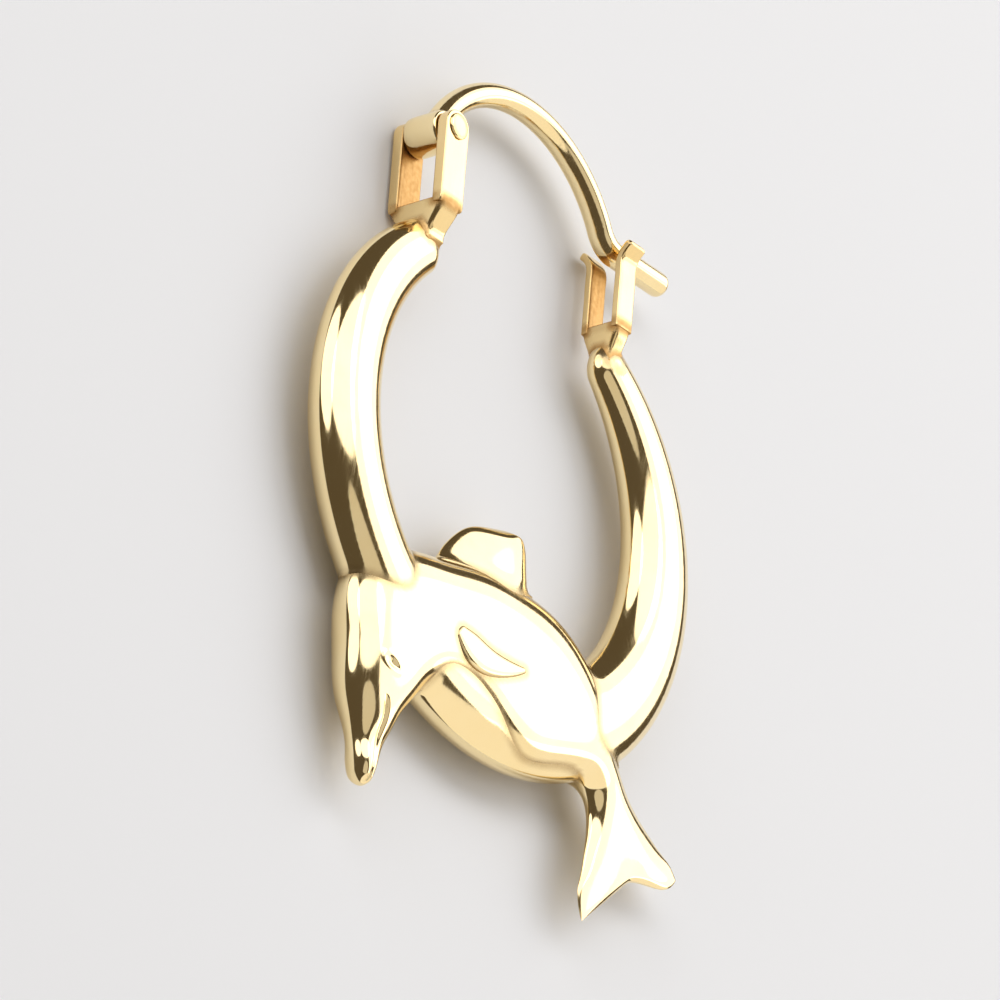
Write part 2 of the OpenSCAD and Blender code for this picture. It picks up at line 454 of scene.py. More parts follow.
def put(name: str, data: bpy.types.ID) -> bpy.types.Object:
    """Makes an object of a mesh, light or camera and puts it into the scene."""
    thing = bpy.data.objects.new(name, data)
    bpy.context.scene.collection.objects.link(thing)
    return thing


def points_of(piece: bpy.types.Object) -> Array:
    """Reads the points of a piece's mesh.

    Args:
        piece: The piece.

    Returns:
        The points, one row each, in metres.
    """
    flat = np.empty(3 * len(piece.data.vertices))
    piece.data.vertices.foreach_get("co", flat)
    return flat.reshape(-1, 3)


@dataclass(frozen=True)
class Shell:
    """The closed skin of one piece, in millimetres about the hoop's centre.

    Attributes:
        name: The piece's name.
        grid: Rings of points.
        dress: What the piece is dressed with.
        close: How the ends are closed.
        slot: Half width of the slot whose faces on the skin get painted shade, or 0 for none.
    """

    name: str
    grid: Array
    dress: Dress
    close: Close = Close.POLES
    slot: float = 0.0

    def normals(self) -> Array:
        """Outward unit normals.

        Each is the cross product of the steps to the next points along the rings and round them.
        The sign is the one that makes them point away from the rings' middles on the whole.

        Returns:
            One normal for each point, one row each.
        """
        along = np.gradient(self.grid, axis=0)
        around = np.roll(self.grid, -1, axis=1) - np.roll(self.grid, 1, axis=1)
        normal = unit_rows(np.cross(along, around) + LEAST_AREA)
        away = self.grid - self.grid.mean(axis=1, keepdims=True)
        return (normal if float((away * normal).sum()) > 0.0 else -normal).reshape(-1, 3)

    def over(self, points: Array, reach: float) -> tuple[Array, Array]:
        """Height of points over this skin, and the skin's normal below them.

        Both are means over the skin's points, weighted by exp(-d²/s²), with d the distance and s
        the softness. The height's terms are the distances from the planes through these points.

        Args:
            points: The points, one row each.
            reach: Largest height that matters.

        Returns:
            The heights, which are the reach where the skin is further off, and the normals.
        """
        skin, facing = self.grid.reshape(-1, 3), self.normals()
        height, normal = np.full(len(points), reach), np.zeros((len(points), 3))
        low, high = skin.min(axis=0) - reach, skin.max(axis=0) + reach
        near = np.flatnonzero(np.all((points > low) & (points < high), axis=1))
        for part in np.array_split(near, max(1, len(near) // BATCH)):
            if not len(part):
                continue
            low, high = points[part].min(axis=0) - reach, points[part].max(axis=0) + reach
            local = np.all((skin > low) & (skin < high), axis=1)
            if not local.any():
                continue
            gap = points[part][:, None] - skin[local][None]
            away = np.square(gap).sum(axis=2)
            nearest = away.min(axis=1, keepdims=True)
            weight = np.exp((nearest - away) / SOFTNESS**2)
            weight /= weight.sum(axis=1, keepdims=True)
            level = (weight * np.einsum("ijk,jk->ij", gap, facing[local])).sum(axis=1)
            found = nearest[:, 0] < reach**2
            height[part[found]] = np.clip(level[found], -reach, reach)
            normal[part[found]] = (weight @ facing[local])[found]
        return height, normal

    def filleted(self, onto: Shell, radius: float) -> Shell:
        """This skin with a solder fillet where it meets another.

        A point at the height h over the other skin moves out along its own normal by
        r (1 - sqrt(1 - (1 - h/r)²)), which is the section of a fillet of radius r, times a power of
        1 less the cosine between the two normals, so that skins that run alike stay as they are.

        Args:
            onto: The skin that this one is soldered to.
            radius: Radius of the fillet.

        Returns:
            The new skin.
        """
        points, normal = self.grid.reshape(-1, 3), self.normals()
        height, facing = onto.over(points, radius)
        square = np.clip(1.0 - (normal * facing).sum(axis=1), 0.0, 1.0) ** FILLET_POWER
        part = 1.0 - np.clip(height, 0.0, radius) / radius
        rise = radius * (1.0 - np.sqrt(1.0 - part**2)) * square
        moved = points + rise[:, None] * normal
        return replace(self, grid=moved.reshape(self.grid.shape))

    def marks(self, joined: list[Shell]) -> Array:
        """How much of a join or of painted slot shade there is at each point, from 0 to 1.

        It is 1 where another skin crosses this one and falls to nothing at the reach of a join. The
        distance to the crossing is the height over the other skin, divided by the sine of the angle
        between the two skins. It is also 1, as painted shade, on faces that look into a slot.

        Args:
            joined: The other skins that this one may meet.

        Returns:
            One mark for each point.
        """
        points, normal = self.grid.reshape(-1, 3), self.normals()
        mark = np.zeros(len(points))
        for other in joined:
            coarse = replace(other, grid=other.grid[::2, ::2])
            height, facing = coarse.over(points, JOIN_REACH)
            cosine = (normal * facing).sum(axis=1)
            sine = np.sqrt(np.clip(1.0 - cosine**2, LEAST_SINE**2, 1.0))
            mark = np.maximum(mark, 1.0 - smooth_step(np.abs(height) / sine / JOIN_REACH))
        # Faces inside a slot get the full mark, which the finish turns into painted shade.
        if self.slot:
            inside = self.slot + SLOT_EDGE - np.abs(points[:, 2])
            mark = np.maximum(mark, smooth_step(inside / SLOT_EDGE))
        return mark

    def piece(self, place: Place, joined: list[Shell]) -> bpy.types.Object:
        """Makes the smooth mesh and dresses it.

        Its attribute join holds the marks of its joins and of its painted slot shade.

        Args:
            place: Where the hoop stands.
            joined: The other skins that this one may meet.

        Returns:
            The object, which sits at the origin with its place in its mesh.
        """
        rings, count = self.grid.shape[:2]
        faces, poles = grid_faces(rings, count, self.close)
        ends = np.stack([self.grid[0].mean(axis=0), self.grid[-1].mean(axis=0)])
        points = np.concatenate([self.grid.reshape(-1, 3), ends[:poles]])
        if not outward(points - points.mean(axis=0), faces):
            faces = [face[::-1] for face in faces]
        mesh = bpy.data.meshes.new(self.name)
        mesh.from_pydata(place.metres(points).tolist(), [], faces)
        mesh.polygons.foreach_set("use_smooth", np.ones(len(faces), dtype=bool))
        mesh.update()
        # The marks hold dirt at the joins and painted shade on faces inside a slot.
        marks = np.concatenate([self.marks(joined), np.zeros(poles)]).astype(np.float32)
        mesh.attributes.new("join", "FLOAT", "POINT").data.foreach_set("value", marks)
        return self.dress.put_on(put(self.name, mesh))


def feed(tree: bpy.types.NodeTree, node: bpy.types.Node, feeds: dict[str | int, Feed]) -> None:
    """Sets or links the inputs of a shader node.

    Args:
        tree: The tree that it is in.
        node: The node.
        feeds: For inputs by name or number, a fixed value or the output that feeds them.
    """
    for key, value in feeds.items():
        if isinstance(value, bpy.types.NodeSocket):
            tree.links.new(value, node.inputs[key])
        else:
            node.inputs[key].default_value = value


def add_node(
    tree: bpy.types.NodeTree,
    kind: str,
    feeds: dict[str | int, Feed],
    **settings: str | bpy.types.NodeTree,
) -> bpy.types.NodeOutputs:
    """Adds a shader node.

    Args:
        tree: The tree that it goes into.
        kind: The node's type.
        feeds: For inputs by name or number, a fixed value or the output that feeds them.
        settings: The node's own properties, which are set before its inputs.

    Returns:
        The node's outputs.
    """
    node = tree.nodes.new(kind)
    for key, value in settings.items():
        setattr(node, key, value)
    feed(tree, node, feeds)
    return node.outputs


def noise(
    tree: bpy.types.NodeTree, place: bpy.types.NodeSocket, scale: Feed, detail: float
) -> bpy.types.NodeSocket:
    """Adds a noise texture.

    Args:
        tree: The tree that it goes into.
        place: Where it is read.
        scale: How many clouds there are to a millimetre, or the output that says it.
        detail: How many finer layers it has.

    Returns:
        The output with its value.
    """
    feeds = {"Vector": place, "Scale": scale, "Detail": detail}
    return add_node(tree, "ShaderNodeTexNoise", feeds)["Fac"]


def new_group(
    name: str, takes: dict[str, Socket | float], gives: dict[str, Socket]
) -> bpy.types.NodeTree:
    """Makes an empty shader node group with named inputs and outputs.

    Args:
        name: The group's name.
        takes: What each input carries, or the default of an input that is a number.
        gives: What each output carries.

    Returns:
        The node group.
    """
    group = bpy.data.node_groups.new(name, "ShaderNodeTree")
    for label, kind in takes.items():
        carried = kind if isinstance(kind, Socket) else Socket.NUMBER
        socket = group.interface.new_socket(name=label, in_out="INPUT", socket_type=carried.value)
        if carried is not kind:
            socket.default_value = kind
    for label, kind in gives.items():
        group.interface.new_socket(name=label, in_out="OUTPUT", socket_type=kind.value)
    return group


def polish_group() -> bpy.types.NodeTree:
    """Builds the shader group for hand-polished metal, once.

    It adds up fine hairlines, which are noise drawn out along one direction, and the soft waves
    that a mop leaves. It puts out their height and a roughness that is higher where hairlines are.

    Returns:
        The node group.
    """
    group = bpy.data.node_groups.get("polished_metal")
    if group:
        return group
    takes = {
        "Position": Socket.PLACE,
        "Hairline Scale": 14.0,
        "Wave Scale": 0.55,
        "Wave Share": 0.5,
        "Smooth Roughness": 0.08,
        "Rough Roughness": 0.2,
    }
    gives = {"Height": Socket.NUMBER, "Roughness": Socket.NUMBER}
    group = new_group("polished_metal", takes, gives)
    come = add_node(group, "NodeGroupInput", {})
    place = come["Position"]
    pull = {"Vector": place, "Rotation": (0.3, 0.2, 0.6), "Scale": (1.0, 0.06, 0.35)}
    drawn = add_node(group, "ShaderNodeMapping", pull)["Vector"]
    hair = noise(group, drawn, come["Hairline Scale"], detail=3.0)
    wave = noise(group, place, come["Wave Scale"], detail=1.0)
    blend = {"Factor": come["Wave Share"], "A": hair, "B": wave}
    height = add_node(group, "ShaderNodeMix", blend)
    ends = {"To Min": come["Smooth Roughness"], "To Max": come["Rough Roughness"]}
    spread = {"Value": hair, "From Min": 0.35, "From Max": 0.75, **ends}
    rough = add_node(group, "ShaderNodeMapRange", spread)
    add_node(group, "NodeGroupOutput", {"Height": height["Result"], "Roughness": rough["Result"]})
    return group


def tone_group() -> bpy.types.NodeTree:
    """Builds the shader group for the tone of worn gold, once.

    It mixes a pale and a deep tone by broad noise, then darkens towards the crease tone where the
    mark is high: dirt at a join, painted shade inside a slot. Fine noise breaks it up a little.

    Returns:
        The node group.
    """
    group = bpy.data.node_groups.get("gold_tone")
    if group:
        return group
    takes = {
        "Position": Socket.PLACE,
        "Pale": Socket.COLOUR,
        "Deep": Socket.COLOUR,
        "Crease": Socket.COLOUR,
        "Join": 0.0,
        "Dirt": 0.5,
    }
    group = new_group("gold_tone", takes, {"Color": Socket.COLOUR, "Dull": Socket.NUMBER})
    come = add_node(group, "NodeGroupInput", {})
    cloud = noise(group, come["Position"], scale=0.5, detail=4.0)
    tones = {"Factor": cloud, "A": come["Pale"], "B": come["Deep"]}
    tone = add_node(group, "ShaderNodeMix", tones, data_type="RGBA")
    speck = noise(group, come["Position"], scale=6.0, detail=3.0)
    spread = {"Value": speck, "From Min": 0.3, "From Max": 0.7, "To Min": 0.85}
    broken = add_node(group, "ShaderNodeMapRange", spread)
    # The mark holds dirt at joins and painted shade inside slots.
    marks = {0: come["Join"], 1: broken["Result"]}
    marked = add_node(group, "ShaderNodeMath", marks, operation="MULTIPLY")
    shares = {0: marked["Value"], 1: come["Dirt"]}
    dirt = add_node(group, "ShaderNodeMath", shares, operation="MULTIPLY")
    dirt_and_shade_tones = {"Factor": dirt["Value"], "A": tone["Result"], "B": come["Crease"]}
    mixed = add_node(group, "ShaderNodeMix", dirt_and_shade_tones, data_type="RGBA")
    add_node(group, "NodeGroupOutput", {"Color": mixed["Result"], "Dull": dirt["Value"]})
    return group


@dataclass(frozen=True)
class GoldFinish:
    """Polished yellow gold.

    Attributes:
        name: The material's name.
        pale: Tone of the brighter clouds.
        deep: Tone of the deeper clouds.
        crease: Tone of the dirt in the joins and of the painted shade inside slots.
        dirt: How much of the dirt and the painted shade shows, from 0 to 1.
        dull: Roughness that full dirt or painted shade adds.
        smooth: Roughness between hairlines.
        rough: Roughness on the hairlines.
        hair_scale: Hairlines to the millimetre.
        wave_share: Share of the soft waves in the height, from 0 to 1.
        height: Height of the hairlines and waves, in millimetres.
    """

    name: str
    pale: Colour = (0.98, 0.82, 0.50)
    deep: Colour = (0.93, 0.72, 0.36)
    crease: Colour = (0.30, 0.17, 0.06)
    dirt: float = 0.55
    dull: float = 0.35
    smooth: float = 0.06
    rough: float = 0.13
    hair_scale: float = 12.0
    wave_share: float = 0.6
    height: float = 0.0015

    def material(self) -> bpy.types.Material:
        """Builds the material, once.

        Returns:
            The material.
        """
        material = bpy.data.materials.get(self.name)
        if material:
            return material
        material = bpy.data.materials.new(self.name)
        material.use_nodes = True
        tree = material.node_tree
        place = add_node(tree, "ShaderNodeTexCoord", {})
        to_mm = {"Vector": place["Object"], "Scale": (1.0 / MM,) * 3}
        position = add_node(tree, "ShaderNodeMapping", to_mm)["Vector"]
        # The attribute holds dirt at joins and painted shade on faces inside slots.
        join = add_node(tree, "ShaderNodeAttribute", {}, attribute_name="join")["Fac"]
        tones = {
            "Pale": (*self.pale, 1.0),
            "Deep": (*self.deep, 1.0),
            "Crease": (*self.crease, 1.0),
            "Dirt": self.dirt,
            "Position": position,
            "Join": join,
        }
        tone = add_node(tree, "ShaderNodeGroup", tones, node_tree=tone_group())
        lines = {
            "Hairline Scale": self.hair_scale,
            "Wave Share": self.wave_share,
            "Smooth Roughness": self.smooth,
            "Rough Roughness": self.rough,
            "Position": position,
        }
        polish = add_node(tree, "ShaderNodeGroup", lines, node_tree=polish_group())
        sums = {0: tone["Dull"], 1: self.dull, 2: polish["Roughness"]}
        rough = add_node(tree, "ShaderNodeMath", sums, operation="MULTIPLY_ADD")
        lift = {"Strength": 1.0, "Distance": self.height * MM, "Height": polish["Height"]}
        bump = add_node(tree, "ShaderNodeBump", lift)
        metal = {
            "Metallic": 1.0,
            "Base Color": tone["Color"],
            "Roughness": rough["Value"],
            "Normal": bump["Normal"],
        }
        feed(tree, tree.nodes["Principled BSDF"], metal)
        return material


POLISHED = GoldFinish("gold_polished")
DRAWN = GoldFinish("gold_drawn_wire", hair_scale=20.0, wave_share=0.3, rough=0.24)
# Sheet of the mounts; its crease tone and strong mix give dirt at joins and painted shade in slots.
SHEET = GoldFinish(
    "gold_rolled_sheet",
    pale=(0.96, 0.75, 0.40),
    deep=(0.90, 0.65, 0.29),
    crease=(0.42, 0.20, 0.045),
    dirt=0.85,
    smooth=0.1,
    rough=0.22,
)


@dataclass(frozen=True)
class Dress:
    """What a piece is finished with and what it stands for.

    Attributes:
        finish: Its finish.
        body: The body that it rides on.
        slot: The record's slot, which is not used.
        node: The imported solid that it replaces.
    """

    finish: GoldFinish
    body: Body
    slot: Slot
    node: str

    def put_on(self, piece: bpy.types.Object) -> bpy.types.Object:
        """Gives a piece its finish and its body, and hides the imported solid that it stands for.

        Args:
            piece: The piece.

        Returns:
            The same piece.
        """
        piece.data.materials.append(self.finish.material())
        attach(piece, self.body.value)
        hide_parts(self.node)
        return piece


# The tube and the dolphin; the yokes, plates and prongs; the rivet; the wire and its knuckle.
CAST = Dress(POLISHED, Body.HOOP, Slot.GOLD, "hoop")
MOUNT = Dress(SHEET, Body.HOOP, Slot.GOLD, "hoop")
RIVET = Dress(SHEET, Body.HOOP, Slot.WIRE_GOLD, "hinge_pin")
WIRE = Dress(DRAWN, Body.EAR_WIRE, Slot.WIRE_GOLD, "ear_wire")


@dataclass(frozen=True)
class HoopTube:
    """The tapering tube, an oval section on three quarters of a circle.

    Attributes:
        radius: Radius of the circle that the section's middle follows.
        depth: Size of the section at the bottom, along the hoop's radius.
        thick: Size of the section at the bottom, through the hoop.
        taper: Share that the section would lose on the way to the middle of the gap.
        hinge_turn: Angle from the middle of the gap to the end under the hinge, in degrees.
        catch_turn: Angle from the middle of the gap to the end under the catch, in degrees.
        cut: Its rings and rounded ends.
    """

    radius: float = 8.4
    depth: float = 3.5
    thick: float = 2.0
    taper: float = 0.92
    hinge_turn: float = 32.6
    catch_turn: float = 31.4
    cut: Cut = Cut(800, 80, start=0.8, stop=0.8)

    def shell(self) -> Shell:
        """The tube's skin.

        The angle runs clockwise from the gap. The section's share of its full size is 1 less the
        taper times the cube of the way from the bottom to the middle of the gap.

        Returns:
            The skin.
        """
        span = math.radians(360.0 - self.hinge_turn - self.catch_turn)
        at, shrink = self.cut.places(self.radius * span)
        turn = math.radians(self.catch_turn) + at / self.radius
        share = 1.0 - self.taper * np.abs(1.0 - turn / math.pi) ** 3
        sizes = self.cut.sizes(self.depth / 2.0 * share, self.thick / 2.0 * share, shrink)
        out = rows_of(np.sin(turn), np.cos(turn))
        ring = oval_ring(self.cut.count, ELLIPSE)
        return Shell("hoop_tube", sweep(self.radius * out, out, THROUGH, ring, *sizes), CAST)


@dataclass(frozen=True)
class Mouth:
    """The mouth's line, a groove on the belly's side of the head's middle.

    Attributes:
        end: Distance from the beak's tip to the corner.
        deep: Depth of the groove.
        wide: Half width of the groove.
        turn: Angle round the head from the middle of the back, in degrees.
        wave: Angle by which the line waves up and down, in radians.
        pitch: How fast the waves follow each other, in radians to the millimetre.
        lift: Angle by which it turns up at its corner, in radians.
        lift_from: Distance from the beak's tip at which it begins to turn up.
        lift_over: Length over which it turns up.
        start: Length over which it grows deep at the tip.
        fade: Length over which it fades at its corner.
    """

    end: float = 3.2
    deep: float = 0.09
    wide: float = 0.075
    turn: float = 104.0
    wave: float = 0.08
    pitch: float = 1.5
    lift: float = 0.28
    lift_from: float = 2.3
    lift_over: float = 1.2
    start: float = 0.2
    fade: float = 0.4

    def height(self, way: Array, turn: Array, girth: Array) -> Array:
        """Height of the groove, whose section is a bell curve, over the head's skin.

        Args:
            way: Distance from the beak's tip, one row for each ring.
            turn: Unsigned angle from the back, one column for each point of a ring.
            girth: Distance of each point of the grid from the spine.

        Returns:
            The height at each point of the grid.
        """
        line = math.radians(self.turn) + self.wave * np.sin(way * self.pitch)
        line = line - self.lift * smooth_step((way - self.lift_from) / self.lift_over)
        corner = smooth_step((way - self.end + self.fade) / self.fade)
        window = smooth_step(way / self.start) * (1.0 - corner)
        return -self.deep * window * bell((turn - line) * girth / self.wide)


@dataclass(frozen=True)
class Eye:
    """The eye, a punched dot in a faint rim.

    Attributes:
        way: Distance from the beak's tip, along the spine.
        turn: Angle round the head from the middle of the back, in degrees.
        size: Radius of the dot.
        deep: Depth of the dot.
        rim: Radius of the rim.
        rim_high: Height of the rim.
        rim_wide: Half width of the rim.
    """

    way: float = 4.2
    turn: float = 80.0
    size: float = 0.12
    deep: float = 0.07
    rim: float = 0.216
    rim_high: float = 0.018
    rim_wide: float = 0.08

    def height(self, way: Array, turn: Array, girth: Array) -> Array:
        """Height of the dot and the rim, both bell curves, over the head's skin.

        Args:
            way: Distance from the beak's tip, one row for each ring.
            turn: Unsigned angle from the back, one column for each point of a ring.
            girth: Distance of each point of the grid from the spine.

        Returns:
            The height at each point of the grid.
        """
        off = np.hypot(way - self.way, (turn - math.radians(self.turn)) * girth)
        rim = self.rim_high * bell((off - self.rim) / self.rim_wide)
        return rim - self.deep * bell(off / self.size)


@dataclass(frozen=True)
class Dolphin:
    """The leaping dolphin, alike on both faces.

    Attributes:
        body: Rows along the spine from the beak to the notch of the tail. The columns are x, y,
            reach to the back, reach to the belly, half thickness, fullness of the back and of the
            belly, how far the edges run ahead of the middle, how far the back's side swells between
            them, and depth of the crease on the spine.
        fin: Rows from the foot of the dorsal fin to its tip. The columns are level, front, rear and
            half thickness.
        flipper: Rows from the shoulder to the tip. The columns are x, y, half width and half
            thickness.
        mouth: The line of the mouth.
        eye: The eye.
        notch: Length at the trailing edge in which the flukes keep their width.
        crease_wide: Half width of the crease, as a share of the reach.
        edge_soft: Softness of the notch between the two edges that run ahead.
        lean: How far the tail's edge falls back for each millimetre out, on the back's side.
        lean_from: Distance from the trailing edge at which the lean begins.
        lean_over: Length over which the lean grows.
        fin_swell: How much thicker the fin is to the rear, as a share.
        fin_full: Fullness of the fin's section.
        fin_fillet: Radius of the fillet under the fin.
        flank: Height of the flippers' middle above the hoop's middle plane.
        flipper_full: Fullness of a flipper's section.
        head_end: Distance from the beak's tip up to which the rings lie closer.
        head_rings: Number of rings up to there.
        body_cut: Rings behind the head, and the rounded ends of the body.
        fin_cut: Rings and rounded ends of the fin.
        flipper_cut: Rings and rounded ends of a flipper.
    """

    body: tuple[tuple[float, ...], ...] = (
        (-6.00, -13.84, 0.34, 0.34, 0.30, 2.0, 2.0, 0.0, 0.0, 0.0),
        (-6.02, -13.10, 0.56, 0.60, 0.49, 2.0, 2.0, 0.0, 0.0, 0.0),
        (-6.02, -12.45, 0.68, 0.78, 0.49, 2.0, 2.0, 0.0, 0.0, 0.0),
        (-6.02, -11.95, 0.86, 0.92, 0.56, 2.0, 2.1, 0.0, 0.0, 0.0),
        (-5.98, -11.40, 1.20, 1.06, 0.72, 2.0, 2.3, 0.0, 0.0, 0.0),
        (-5.88, -10.60, 1.62, 1.24, 0.90, 2.1, 2.5, 0.0, 0.0, 0.0),
        (-5.60, -9.60, 2.16, 1.46, 1.03, 2.2, 2.8, 0.0, 0.0, 0.0),
        (-5.00, -8.40, 3.10, 1.60, 1.09, 2.2, 3.0, 0.0, 0.0, 0.0),
        (-3.90, -7.25, 2.95, 1.72, 1.13, 2.2, 3.4, 0.0, 0.0, 0.0),
        (-2.40, -6.45, 2.40, 2.20, 1.15, 2.2, 4.0, 0.0, 0.0, 0.0),
        (-0.80, -6.10, 2.46, 2.92, 1.16, 2.2, 4.4, 0.0, 0.0, 0.0),
        (0.80, -6.10, 2.64, 3.42, 1.16, 2.2, 4.6, 0.0, 0.0, 0.0),
        (2.40, -6.35, 2.78, 3.42, 1.14, 2.2, 4.4, 0.0, 0.0, 0.0),
        (3.80, -6.80, 2.44, 2.82, 1.09, 2.2, 3.6, 0.0, 0.0, 0.0),
        (4.95, -7.30, 1.78, 1.88, 0.98, 2.1, 2.7, 0.0, 0.0, 0.0),
        (5.85, -7.75, 1.18, 1.24, 0.76, 1.9, 2.1, 0.0, 0.0, 0.0),
        (6.50, -8.22, 0.96, 1.16, 0.58, 1.8, 1.8, 0.0, 0.0, 0.0),
        (6.98, -8.75, 1.00, 1.44, 0.48, 1.7, 1.7, 0.02, 0.0, 0.0),
        (7.34, -9.28, 1.22, 1.88, 0.43, 1.7, 1.7, 0.06, 0.0, 0.03),
        (7.63, -9.80, 1.58, 2.38, 0.39, 1.7, 1.7, 0.13, 0.02, 0.06),
        (7.87, -10.26, 2.00, 2.80, 0.34, 1.7, 1.7, 0.22, 0.08, 0.10),
        (8.06, -10.66, 2.43, 3.04, 0.27, 1.7, 1.7, 0.31, 0.18, 0.14),
        (8.19, -10.93, 2.68, 3.10, 0.20, 1.8, 1.8, 0.45, 0.26, 0.16),
        (8.27, -11.10, 2.78, 3.06, 0.14, 2.0, 2.0, 0.60, 0.30, 0.16),
    )
    fin: tuple[tuple[float, ...], ...] = (
        (-4.80, -3.10, 1.95, 0.80),
        (-4.10, -3.00, 1.82, 0.74),
        (-3.60, -2.78, 1.72, 0.62),
        (-3.00, -2.33, 1.62, 0.52),
        (-2.55, -1.90, 1.57, 0.45),
        (-2.20, -1.45, 1.54, 0.39),
        (-1.95, -0.95, 1.50, 0.34),
        (-1.75, -0.38, 1.43, 0.29),
        (-1.58, 0.16, 1.31, 0.24),
        (-1.44, 0.58, 1.12, 0.19),
    )
    flipper: tuple[tuple[float, ...], ...] = (
        (-2.90, -6.92, 0.24, 0.07),
        (-2.35, -7.20, 0.52, 0.12),
        (-1.65, -7.38, 0.58, 0.14),
        (-0.95, -7.37, 0.48, 0.14),
        (-0.30, -7.24, 0.35, 0.13),
        (0.30, -7.05, 0.21, 0.11),
        (0.72, -6.88, 0.09, 0.08),
    )
    mouth: Mouth = Mouth()
    eye: Eye = Eye()
    notch: float = 1.0
    crease_wide: float = 0.28
    edge_soft: float = 0.002
    lean: float = 0.215
    lean_from: float = 3.6
    lean_over: float = 2.2
    fin_swell: float = 0.45
    fin_full: float = 1.9
    fin_fillet: float = 0.35
    flank: float = 1.11
    flipper_full: float = 2.2
    head_end: float = 5.6
    head_rings: int = 230
    body_cut: Cut = Cut(290, 160, start=0.34, stop=0.16)
    fin_cut: Cut = Cut(110, 72, stop=0.16)
    flipper_cut: Cut = Cut(80, 48, start=0.15, stop=0.12)

    def body_shell(self) -> Shell:
        """The skin of the body, from the beak to the trailing edge of the flukes.

        A ring stands square to the spine. Its two halves are superellipses with the reach and the
        fullness of the back and of the belly. In the tail the ring's edges run ahead of its middle
        by the distance out u, swell by 4u² (1 - u²) between the two on the back's side, and lean.
        A crease thins the ring at its middle as a bell curve. The mouth and the eyes follow the
        unsigned angle from the back, so the two faces are alike.

        Returns:
            The skin.
        """
        table, cut = np.array(self.body), self.body_cut
        knots = knots_of(table)
        head = np.linspace(cut.start, self.head_end, self.head_rings, endpoint=False)
        rest = np.linspace(self.head_end, knots[-1] - cut.stop, cut.rings)
        at, shrink = stations(np.concatenate([head, rest]), cut.stop)
        row = spline(table, knots, at)
        columns = (column[:, None] for column in row.T[2:])
        back, belly, half, full_back, full_belly, ahead, swell, crease = columns
        along, across = heading(row[:, :2], at)
        cosine = np.cos(ring_angles(cut.count))[None, :]
        out, rise = oval(cut.count, np.where(cosine > 0.0, full_back, full_belly))
        in_notch = (at > knots[-1] - self.notch)[:, None]
        reach = np.where(out > 0.0, back, belly) * out * np.where(in_notch, 1.0, shrink[:, None])
        thinned = 1.0 - crease * bell(out / self.crease_wide)
        through = half * rise * shrink[:, None] * thinned
        girth = np.hypot(reach, through)
        way, turn = at[:, None], np.arccos(cosine)
        relief = self.mouth.height(way, turn, girth) + self.eye.height(way, turn, girth)
        grow = 1.0 + relief / np.maximum(girth, LEAST_GIRTH)
        reach, through = reach * grow, through * grow
        tail = smooth_step((at - at[-1] + self.lean_from) / self.lean_over)[:, None]
        share = np.clip(out, 0.0, 1.0) ** 2
        forward = ahead * np.sqrt(out**2 + self.edge_soft) + swell * 4.0 * share * (1.0 - share)
        forward = (forward - self.lean * tail * reach)[..., None]
        plane = row[:, None, :2] + across[:, None] * reach[..., None] + along[:, None] * forward
        grid = np.concatenate([plane, through[..., None]], axis=-1)
        return Shell("dolphin_body", grid, CAST, Close.SEAM)

    def fin_shell(self) -> Shell:
        """The skin of the dorsal fin, level ovals that are thicker to the rear.

        Returns:
            The skin.
        """
        table = np.array(self.fin)
        knots = table[:, 0] - table[0, 0]
        at, shrink = self.fin_cut.places(knots[-1])
        level, front, rear, thick = spline(table, knots, at).T
        out, rise = oval(self.fin_cut.count, self.fin_full)
        ring = np.stack([out, rise * (1.0 + self.fin_swell * out)], axis=1)
        path = rows_of((front + rear) / 2.0, level)
        sizes = self.fin_cut.sizes((rear - front) / 2.0, thick, shrink)
        return Shell("dorsal_fin", sweep(path, EAST, THROUGH, ring, *sizes), CAST)

    def flipper_shell(self, face: Face) -> Shell:
        """The skin of one flipper, a low blade along the flank.

        Args:
            face: The side of the hoop that it lies on.

        Returns:
            The skin.
        """
        table = np.array(self.flipper)
        knots = knots_of(table)
        at, shrink = self.flipper_cut.places(knots[-1])
        x, y, wide, thick = spline(table, knots, at).T
        path = rows_of(x, y, face.value * self.flank)
        side = rows_of(*heading(path[:, :2], at)[1].T)
        ring = oval_ring(self.flipper_cut.count, self.flipper_full)
        sizes = self.flipper_cut.sizes(wide, np.minimum(thick, table[:, 3].max()), shrink)
        return Shell(face.of("flipper"), sweep(path, side, THROUGH, ring, *sizes), CAST)

    def shells(self) -> list[Shell]:
        """The skins of the body, the fin and the flippers."""
        body = self.body_shell()
        fin = self.fin_shell().filleted(body, self.fin_fillet)
        return [body, fin, *(self.flipper_shell(face) for face in Face)]


